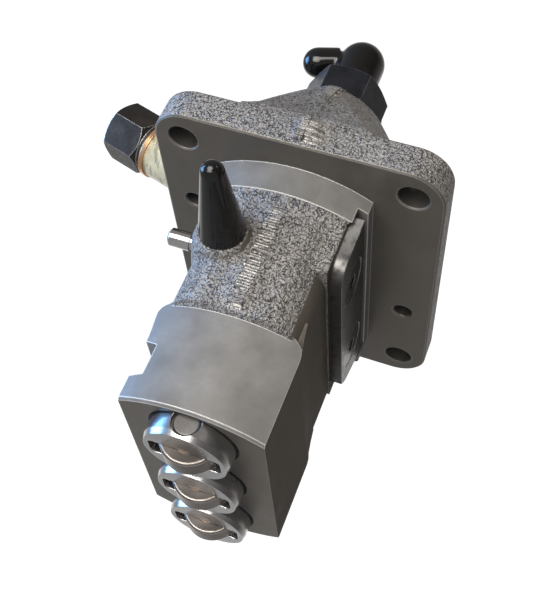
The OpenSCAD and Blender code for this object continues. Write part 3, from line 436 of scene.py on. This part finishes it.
def dress(nodes, material):
    """Gives CAD nodes one finish."""
    for name in nodes:
        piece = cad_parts[name]
        piece.data.materials.clear()
        piece.data.materials.append(material)


def numbered(*stems):
    """Names of the pieces that repeat at each cylinder."""
    return [f"{stem}_{i}" for stem in stems for i in CYLINDERS]


# Pieces

class PUMP_OT_housing(Operator):
    """Gives the casting its rough, machined and bored surfaces"""

    bl_idname = "pump.housing"
    bl_label = "Cast housing"

    def execute(self, context):
        look = context.scene.pump_finishes
        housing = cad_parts["housing"]
        mesh = housing.data
        mesh.materials.clear()
        along_x = (60, 900, 60)
        around = (70, 70, 1500)
        # The milled finishes' edge colours are partly wear and partly painted highlight
        finishes = [
            cast_iron("cast_iron_sand", look.cast_colour, look.cast_grain, look.cast_edge),
            milled_iron("underside_milled", look.underside_colour, 0.42, along_x, (0.26, 0.25, 0.23), 0.0004),
            milled_iron("guide_milled", look.guide_colour, 0.5, around, (0.7, 0.69, 0.66), 0.0004,
                        stain=0.2, metal=0.3),
            # Bores and hole walls: a near-black copy of machined iron, painted shade inside the recesses
            milled_iron("bored_iron_shaded", (0.07, 0.066, 0.06), 0.5, (500, 500, 2500), (0.3, 0.29, 0.26), 0.0002),
            # Long sides of the guide and the body's cover side: a dark smooth finish, partly their own and
            # partly painted shade
            milled_iron("guide_side_shaded", look.side_colour, 0.85, (90, 90, 90), (0.22, 0.2, 0.17), 0.0004,
                        stain=0.2, metal=0.0, gloss=0.1),
            filed_iron(look.cast_colour, look.filed_colour, look.cast_grain),
            # The dome: a darker copy of the cast skin with finer grain, painted shade on the upward-facing
            # dome
            cast_iron("cast_iron_dome_shaded", shade(look.cast_colour, 0.7), look.cast_grain * 0.6, look.cast_edge),
        ]
        for finish in finishes:
            mesh.materials.append(finish)
        for polygon in mesh.polygons:
            reach = max(abs(mesh.vertices[index].co.y) for index in polygon.vertices)
            polygon.material_index = self.surface(polygon.center, polygon.normal, reach)
        return {"FINISHED"}

    def surface(self, centre, normal, reach):
        """The finish at a place on the casting; reach is the face's farthest y."""
        x, y, z = centre
        faces_down = normal.z < -0.9
        if reach < RIDGE_HALF and (abs(x) > FLANGE_RIDGE_FROM or DOME_RIDGE_FROM < z < DOME_RIDGE_TO):
            return FILED
        for i in (-1, 0, 1):
            radius = math.hypot(x - i * PITCH, y)
            if radius < TAPPET_BORE and z < DOME_TOP and abs(normal.z) < 0.9:
                if z < BODY_BOTTOM + 12 * MM or radius < UPPER_BORE:
                    # Painted shade: bore walls get the near-black bored finish
                    return BORED
        if faces_down and abs(z) < UNDERSIDE_SLACK:
            return UNDERSIDE
        if -CHAMFER_SLACK < z < CHAMFER_SLACK and normal.z < -0.5:
            return UNDERSIDE
        if z < BODY_BOTTOM - 0.1 * MM:
            if faces_down and z < GUIDE_END:
                return UNDERSIDE
            # The guide's long sides get the dark side finish, partly painted shade
            return SIDE if abs(normal.y) > 0.7 else GUIDE
        if PILOT_FOOT < z < 0:
            on_side = abs(abs(y) - PILOT_SIDE) < 0.1 * MM
            if math.hypot(x, y) > PILOT_RADIUS or on_side or faces_down:
                return GUIDE
        # The rack bore and the hole walls get the near-black bored finish, painted shade
        if z < 0 and math.hypot(y - RACK_Y, z - RACK_Z) < RACK_BORE:
            return BORED
        for hole_x, hole_y, rim in HOLES:
            if math.hypot(x - hole_x * MM, y - hole_y * MM) < rim * MM and abs(normal.z) < 0.95:
                return BORED
        # The dome gets the darker cast copy, painted shade
        if z > DOME_FOOT:
            return DOME
        # The body's cover side gets the dark side finish instead of the cast skin: painted shade on the side
        # away from the lights
        if z < BODY_TOP and (normal.y > 0.78 or (z < BODY_CORNER_Z and y > BODY_CORNER_Y)):
            return SIDE
        return CAST


class PUMP_OT_ridges(Operator):
    """Lays the filed parting ridges along the ends of the casting"""

    bl_idname = "pump.ridges"
    bl_label = "Parting ridges"

    def execute(self, context):
        look = context.scene.pump_finishes
        detail = context.scene.pump_detail
        filed = filed_iron(look.cast_colour, look.filed_colour, look.cast_grain)
        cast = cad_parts["housing"].data.materials[CAST]
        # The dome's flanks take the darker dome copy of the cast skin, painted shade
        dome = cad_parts["housing"].data.materials[DOME]
        # Profiles across the ridge: y and height in mm
        middle = [(-1.9, 0.93), (1.9, 0.93)]
        low_flank = [(-6.4, -0.05), (-4.4, 0.3), (-1.8, 0.95)]
        high_flank = [(1.8, 0.95), (4.4, 0.3), (6.0, -0.05)]
        step_left = [(-3.6, -0.05), (-2.2, 0.35), (-0.58, 1.45)]
        step_right = [(1.58, 1.45), (3.2, 1.25), (4.6, 0.85), (6.4, -0.05)]
        for side, word in ((1, "rack_end"), (-1, "far_end")):
            self.ladder("ridge_body_" + word, side, BODY_BAND, BODY_RISE, middle, filed, detail)
            self.ladder("ridge_low_" + word, side, BODY_BAND, BODY_RISE, low_flank, cast, detail)
            self.ladder("ridge_high_" + word, side, BODY_BAND, BODY_RISE, high_flank, cast, detail)
            for edge, place in ((-1, "low"), (1, "high")):
                self.dome_flank(f"ridge_dome_{place}_{word}", side, edge, dome)
            self.ladder("ridge_step_left_" + word, side, FLANGE_BAND, FLANGE_RISE, step_left, cast, detail)
            self.ladder("ridge_step_right_" + word, side, FLANGE_BAND, FLANGE_RISE, step_right, filed, detail)
        return {"FINISHED"}

    def dome_flank(self, name, side, edge, material):
        """A soft slope beside the ridge that runs up the dome's end."""
        wall = 1.6 * MM
        drop = 0.95 * MM
        width = 3.4 * MM
        crest = {}
        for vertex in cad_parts["housing"].data.vertices:
            place = vertex.co
            on_wall = abs(abs(place.y) - wall) < 0.02 * MM and 10.1 * MM < place.z < 33.5 * MM
            if place.x * side > PITCH and on_wall:
                z = round(place.z, 5)
                crest[z] = max(round(place.x * side - PITCH, 5), crest.get(z, 0.0))
        steps = 8
        vertices = []
        for z, reach in sorted(crest.items()):
            for step in range(steps + 1):
                share = step / steps
                radius = reach - drop * share * share * (3 - 2 * share) + 0.02 * MM
                turn = (wall - 0.1 * MM + share * width) / radius * edge
                vertices.append((side * (PITCH + radius * math.cos(turn)), radius * math.sin(turn), z))
        ridge_sheet(name, vertices, steps, side * edge < 0, material)

    def ladder(self, name, side, base, rise, profile, material, detail):
        """A ragged band up an end of the casting, with rungs across it and a profile along y."""
        bottom, top = rise
        rows = int((top - bottom) * MM / detail.rung_pitch * 6)
        steps = 4
        across = []
        for (y0, h0), (y1, h1) in zip(profile, profile[1:]):
            for step in range(steps):
                share = step / steps
                across.append((y0 + (y1 - y0) * share, h0 + (h1 - h0) * share))
        across.append(profile[-1])
        middle = (profile[0][0] + profile[-1][0]) / 2
        low_fade, high_fade, sunk = 4.0, 1.6, 0.15
        vertices = []
        for row in range(rows + 1):
            z = bottom + (top - bottom) * row / rows
            run = (z - bottom) * MM / detail.rung_pitch
            spread = 1 + 0.1 * math.sin(1.9 * run + side) * math.sin(0.7 * run)
            fade = min(1.0, (z - bottom) / low_fade, (top - z) / high_fade)
            for y, height in across:
                tooth = math.sin(2 * math.pi * run + 0.3 * y + 0.6 * math.sin(2.3 * run))
                lift = height + detail.rung_depth / MM * tooth * min(1.0, max(0.0, height))
                lift = lift * fade - sunk * (1 - fade)
                vertices.append((side * (base + lift) * MM, (middle + (y - middle) * spread) * MM, z * MM))
        ridge_sheet(name, vertices, len(across) - 1, side < 0, material)


class PUMP_OT_tappets(Operator):
    """Finishes the roller tappets and what they carry"""

    bl_idname = "pump.tappets"
    bl_label = "Roller tappets"

    def execute(self, context):
        look = context.scene.pump_finishes
        dress(numbered("tappet"), ground_steel("tappet_ground", look.tappet_colour, 0.22, (260, 260, 2600)))
        # The tread's high edge gain paints a highlight on the rim between face and tread
        tread = ground_steel("roller_tread", look.roller_colour, 0.34, (2600, 240, 240), 0.0005, 3.2)
        # End faces: a dark copy of the roller colour, painted shade on the recessed faces, with a strong
        # painted highlight on their rims
        shaded_end_colour = shade(look.roller_colour, 0.32)
        shaded_end_face = ground_steel("roller_face_shaded", shaded_end_colour, 0.4, (300, 300, 300), 0.0005, 8.0)
        dress(numbered("roller"), tread)
        for name in numbered("roller"):
            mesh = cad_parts[name].data
            mesh.materials.append(shaded_end_face)
            for polygon in mesh.polygons:
                polygon.material_index = 1 if abs(polygon.normal.x) > 0.95 else 0
        pin = ground_steel("pin_ground", (0.2, 0.19, 0.18), 0.5, (1500, 400, 400))
        dress(numbered("roller_pin", "shim"), pin)
        bush = ground_steel("bush_bronze", (0.26, 0.19, 0.12), 0.45, (1500, 300, 300))
        dress(numbered("roller_bush"), bush)
        seats = ground_steel("seat_turned", (0.42, 0.42, 0.43), 0.35, (900, 900, 200))
        dress(numbered("lower_seat") + ["upper_seats"], seats)
        return {"FINISHED"}


class PUMP_OT_springs(Operator):
    """Copies the springs of the tappets and valves onto the bodies they ride with"""

    bl_idname = "pump.springs"
    bl_label = "Springs"

    def execute(self, context):
        wire = ground_steel("spring_wire", (0.3, 0.31, 0.34), 0.35, (500, 500, 500))
        tappet_lift, seat_z = 7 * MM, -31.6 * MM
        valve_lift, holder_z = 2 * MM, 35 * MM
        for i in CYLINDERS:
            self.spring(f"plunger_spring_{i}", f"tappet_{i}", f"tappet_lift_{i}", seat_z, tappet_lift, wire)
            self.spring(f"valve_spring_{i}", f"valve_{i}", f"valve_lift_{i}", holder_z, valve_lift, wire)
        return {"FINISHED"}

    def spring(self, node, body, joint, held_z, lift, wire):
        """A copy of one packed spring that rides with its body; the held height and the lift are not used."""
        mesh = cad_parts[node].data.copy()
        piece = smooth_piece(node + "_wound", mesh, wire)
        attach(piece, body)
        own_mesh(piece)
        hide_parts(node)


class PUMP_OT_elements(Operator):
    """Finishes the plungers, barrels, valves and control sleeves"""

    bl_idname = "pump.elements"
    bl_label = "Pumping elements"

    def execute(self, context):
        lapped = ground_steel("lapped_steel", (0.68, 0.69, 0.71), 0.16, (300, 300, 3000))
        dress(numbered("plunger", "valve"), lapped)
        dress(["barrels", "valve_seats", "barrel_dowels", "guide_pins"], lapped)
        turned = ground_steel("sleeve_turned", (0.5, 0.47, 0.42), 0.32, (500, 500, 2200))
        dress(numbered("control_sleeve"), turned)
        return {"FINISHED"}


class PUMP_OT_rack(Operator):
    """Finishes the control rack, its link pin, its plug and its cone cap"""

    bl_idname = "pump.rack"
    bl_label = "Control rack"

    def execute(self, context):
        look = context.scene.pump_finishes
        dress(["rack"], ground_steel("rack_ground", (0.62, 0.63, 0.65), 0.25, (300, 2200, 2200)))
        dress(["link_pin"], ground_steel("link_pin_polished", (0.6, 0.59, 0.58), 0.12, (700, 120, 700)))
        dress(["rack_plug"], ground_steel("plug_pressed", (0.45, 0.45, 0.44), 0.35, (400, 900, 900)))
        dress(["cone_cap"], moulded_black("cone_plastic", look.cap_colour, 0.08, 0.04))
        return {"FINISHED"}


class PUMP_OT_cover(Operator):
    """Finishes the side cover, its gasket and its screws"""

    bl_idname = "pump.cover"
    bl_label = "Side cover"

    def execute(self, context):
        dress(["side_cover"], black_oxide("cover_plate", (0.06, 0.057, 0.053), (0.7, 0.68, 0.65), 0.36))
        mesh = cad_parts["side_cover"].data
        mesh.materials.append(self.cut_edge())
        for polygon in mesh.polygons:
            polygon.material_index = 0 if abs(polygon.normal.y) > 0.7 else 1
        dress(["cover_screws"], black_oxide("cover_screw", (0.022, 0.021, 0.02), (0.3, 0.29, 0.28), 0.3))
        dress(["cover_gasket"], moulded_black("gasket_sheet", (0.03, 0.028, 0.026), 0.6, 0.1))
        return {"FINISHED"}

    def cut_edge(self):
        """Bare cut steel along the plate's edge, with painted shade towards its lower end and painted light
        towards its upper end.
        """
        finish = Finish("cover_cut_edge")
        parts = finish.tree.nodes.new("ShaderNodeSeparateXYZ")
        finish.link(finish.place, parts.inputs[0])
        shaded_below, lit_above = -26 * MM, -10 * MM
        # Painted shade below, painted light above: the edge darkens towards its lower end.
        height = finish.span(parts.outputs["Z"], shaded_below, lit_above)
        clouds = finish.noise(300, 3.0)
        tone = finish.mix(height, (0.05, 0.047, 0.044), (0.42, 0.41, 0.4))
        tone = finish.mix(finish.span(clouds, 0.5, 0.75), tone, (0.03, 0.028, 0.026))
        normal = finish.raised(clouds, 0.1, 0.00006, finish.rounded(0.0004))
        return finish.wear(tone, finish.span(clouds, 0.3, 0.7, 0.3, 0.45), normal, 0.7)


class PUMP_OT_inlet(Operator):
    """Finishes the inlet fitting, its washer and its cap nut"""

    bl_idname = "pump.inlet"
    bl_label = "Fuel inlet"

    def execute(self, context):
        dress(["inlet_fitting"], plated("inlet_plating", (0.68, 0.62, 0.42), 0.3))
        dress(["copper_washer"], soft_copper((0.98, 0.57, 0.31)))
        nut = black_oxide("inlet_nut_black", (0.045, 0.04, 0.036), (0.62, 0.6, 0.57), 0.4, 0.0003)
        dress(["inlet_nut"], nut)
        return {"FINISHED"}


class PUMP_OT_outlets(Operator):
    """Finishes the delivery holders and moulds the rubber dust caps"""

    bl_idname = "pump.outlets"
    bl_label = "Delivery outlets"

    def execute(self, context):
        look = context.scene.pump_finishes
        detail = context.scene.pump_detail
        dress(["holders"], black_oxide("holder_black", look.holder_colour, (0.16, 0.17, 0.2), 0.36))
        rubber = moulded_black("cap_rubber", look.cap_colour, 0.06, 0.03)
        dress(["holder_seals"], rubber)
        for name in numbered("dust_cap"):
            self.mould(name, rubber, detail)
        return {"FINISHED"}

    def mould(self, name, rubber, detail):
        """One seamless rubber form around the plain cap."""
        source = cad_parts[name]
        draft = bpy.data.objects.new("draft", source.data.copy())
        bpy.context.scene.collection.objects.link(draft)
        remesh = draft.modifiers.new("remesh", "REMESH")
        remesh.mode = "VOXEL"
        remesh.voxel_size = detail.cap_voxel
        smooth = draft.modifiers.new("smooth", "SMOOTH")
        smooth.factor = 0.5
        smooth.iterations = detail.cap_rounds
        bpy.context.view_layer.update()
        shaped = bpy.data.meshes.new_from_object(draft.evaluated_get(bpy.context.evaluated_depsgraph_get()))
        bpy.data.objects.remove(draft)
        piece = smooth_piece(name + "_moulded", shaped, rubber)
        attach(piece, "housing")
        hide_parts(name)


class PUMP_OT_stage(Operator):
    """Sets up the floor, the soft light and the camera"""

    bl_idname = "pump.stage"
    bl_label = "Stage"

    def execute(self, context):
        stage = context.scene.pump_stage
        context.scene.view_settings.view_transform = "Standard"
        self.world(context.scene)
        self.floor(stage)
        self.light("key_light", (0.66, -0.14, -0.2), 0.5, stage.key_power, (1.0, 0.96, 0.91))
        self.light("side_light", (0.12, -0.8, -0.02), 0.45, stage.side_power, (0.18, 0.48, 1.0))
        self.light("stripe_light", (0.57, 0.42, 0.37), 0.07, stage.stripe_power, (1.0, 0.97, 0.92))
        self.camera(context.scene, stage)
        return {"FINISHED"}

    def world(self, scene):
        """A room that is white behind the pump, pale and cool on the inlet side, and dim on the cover side."""
        world = bpy.data.worlds.new("pale_room")
        scene.world = world
        world.use_nodes = True
        tree = world.node_tree
        background = tree.nodes["Background"]
        place = tree.nodes.new("ShaderNodeTexCoord").outputs["Generated"]
        room = self.lobe(tree, place, (0.5, -0.85, 0.1), -0.75, 1.0, 0.1, 0.36)
        wall = self.lobe(tree, place, BEHIND, 0.45, 0.95, 0.0, 1.08)
        back = self.lobe(tree, place, (-0.8, 0.0, 0.6), 0.0, 0.85, 0.0, 0.5)
        for strength in (wall, back):
            brighter = tree.nodes.new("ShaderNodeMath")
            brighter.operation = "MAXIMUM"
            tree.links.new(room, brighter.inputs[0])
            tree.links.new(strength, brighter.inputs[1])
            room = brighter.outputs["Value"]
        tree.links.new(room, background.inputs["Strength"])
        tint = tree.nodes.new("ShaderNodeMix")
        tint.data_type = "RGBA"
        tint.inputs[6].default_value = (1.0, 0.92, 0.85, 1.0)
        tint.inputs[7].default_value = (0.86, 0.95, 1.09, 1.0)
        cool = self.lobe(tree, place, (0.2, -0.98, 0.0), 0.2, 0.95, 0.0, 1.0)
        tree.links.new(cool, tint.inputs["Factor"])
        clean = tree.nodes.new("ShaderNodeMix")
        clean.data_type = "RGBA"
        clean.inputs[7].default_value = (1.0, 1.0, 1.0, 1.0)
        tree.links.new(self.lobe(tree, place, BEHIND, 0.3, 0.9, 0.0, 1.0), clean.inputs["Factor"])
        tree.links.new(tint.outputs[2], clean.inputs[6])
        tree.links.new(clean.outputs[2], background.inputs["Color"])

    def lobe(self, tree, place, toward, near, far, low, high):
        """Strength that rises towards one direction of the room."""
        aim = tree.nodes.new("ShaderNodeVectorMath")
        aim.operation = "DOT_PRODUCT"
        aim.inputs[1].default_value = Vector(toward).normalized()
        tree.links.new(place, aim.inputs[0])
        span = tree.nodes.new("ShaderNodeMapRange")
        span.interpolation_type = "SMOOTHSTEP"
        span.inputs["From Min"].default_value = near
        span.inputs["From Max"].default_value = far
        span.inputs["To Min"].default_value = low
        span.inputs["To Max"].default_value = high
        tree.links.new(aim.outputs["Value"], span.inputs["Value"])
        return span.outputs["Result"]

    def floor(self, stage):
        """A pale round floor well below the pump."""
        steps = 96
        radius = 1.6
        vertices = [(0, 0, -stage.floor_drop)]
        for i in range(steps):
            turn = 2 * math.pi * i / steps
            vertices.append((radius * math.cos(turn), radius * math.sin(turn), -stage.floor_drop))
        faces = [(0, 1 + i, 1 + (i + 1) % steps) for i in range(steps)]
        mesh = bpy.data.meshes.new("floor")
        mesh.from_pydata(vertices, [], faces)
        floor = bpy.data.objects.new("floor", mesh)
        bpy.context.scene.collection.objects.link(floor)
        finish = Finish("pale_floor")
        paper = finish.noise(30, 3.0)
        tone = finish.mix(finish.span(paper, 0.3, 0.7), (0.78, 0.78, 0.77), (0.82, 0.82, 0.81))
        mesh.materials.append(finish.wear(tone, 0.8, finish.raised(paper, 0.05, 0.001), 0.0, 0.2))

    def light(self, name, place, size, power, colour):
        """A square soft light that faces the pump."""
        data = bpy.data.lights.new(name, "AREA")
        data.shape = "SQUARE"
        data.size = size
        data.energy = power
        data.spread = LIGHT_SPREAD
        data.color = colour
        lamp = bpy.data.objects.new(name, data)
        lamp.location = place
        lamp.rotation_euler = (-Vector(place)).to_track_quat("-Z", "Y").to_euler()
        bpy.context.scene.collection.objects.link(lamp)

    def camera(self, scene, stage):
        """The photograph's viewpoint, from below and beside the rack end."""
        data = bpy.data.cameras.new("camera")
        data.lens = stage.lens
        data.sensor_width = 36.0
        data.sensor_fit = "AUTO"
        data.clip_start = 0.01
        camera = bpy.data.objects.new("camera", data)
        right = Vector(CAMERA_RIGHT)
        up = Vector(CAMERA_UP)
        turn = Matrix((right, up, right.cross(up))).transposed()
        camera.matrix_world = Matrix.Translation(CAMERA_PLACE) @ turn.to_4x4()
        bpy.context.scene.collection.objects.link(camera)
        scene.camera = camera


class PUMP_PT_panel(Panel):
    """Lists the pump's pieces and settings"""

    bl_label = "Injection pump"
    bl_space_type = "VIEW_3D"
    bl_region_type = "UI"
    bl_category = "Pump"

    def draw(self, context):
        layout = self.layout
        for operator in OPERATORS:
            layout.operator(operator.bl_idname)
        for group in (context.scene.pump_finishes, context.scene.pump_detail, context.scene.pump_stage):
            box = layout.box()
            for name in group.__annotations__:
                box.prop(group, name)


GROUPS = (PumpFinishes, PumpDetail, PumpStage)
OPERATORS = (PUMP_OT_housing, PUMP_OT_ridges, PUMP_OT_tappets, PUMP_OT_springs, PUMP_OT_elements,
             PUMP_OT_rack, PUMP_OT_cover, PUMP_OT_inlet, PUMP_OT_outlets, PUMP_OT_stage)


def register():
    """Registers the classes and hangs the settings on the scene."""
    for group in GROUPS + OPERATORS + (PUMP_PT_panel,):
        bpy.utils.register_class(group)
    bpy.types.Scene.pump_finishes = PointerProperty(type=PumpFinishes)
    bpy.types.Scene.pump_detail = PointerProperty(type=PumpDetail)
    bpy.types.Scene.pump_stage = PointerProperty(type=PumpStage)


def unregister():
    """Takes the settings and classes away again."""
    del bpy.types.Scene.pump_stage
    del bpy.types.Scene.pump_detail
    del bpy.types.Scene.pump_finishes
    for group in reversed(GROUPS + OPERATORS + (PUMP_PT_panel,)):
        bpy.utils.unregister_class(group)


def main():
    """Builds every piece."""
    register()
    bpy.ops.pump.housing()
    bpy.ops.pump.ridges()
    bpy.ops.pump.tappets()
    bpy.ops.pump.springs()
    bpy.ops.pump.elements()
    bpy.ops.pump.rack()
    bpy.ops.pump.cover()
    bpy.ops.pump.inlet()
    bpy.ops.pump.outlets()
    bpy.ops.pump.stage()


if __name__ == "__main__":
    main()
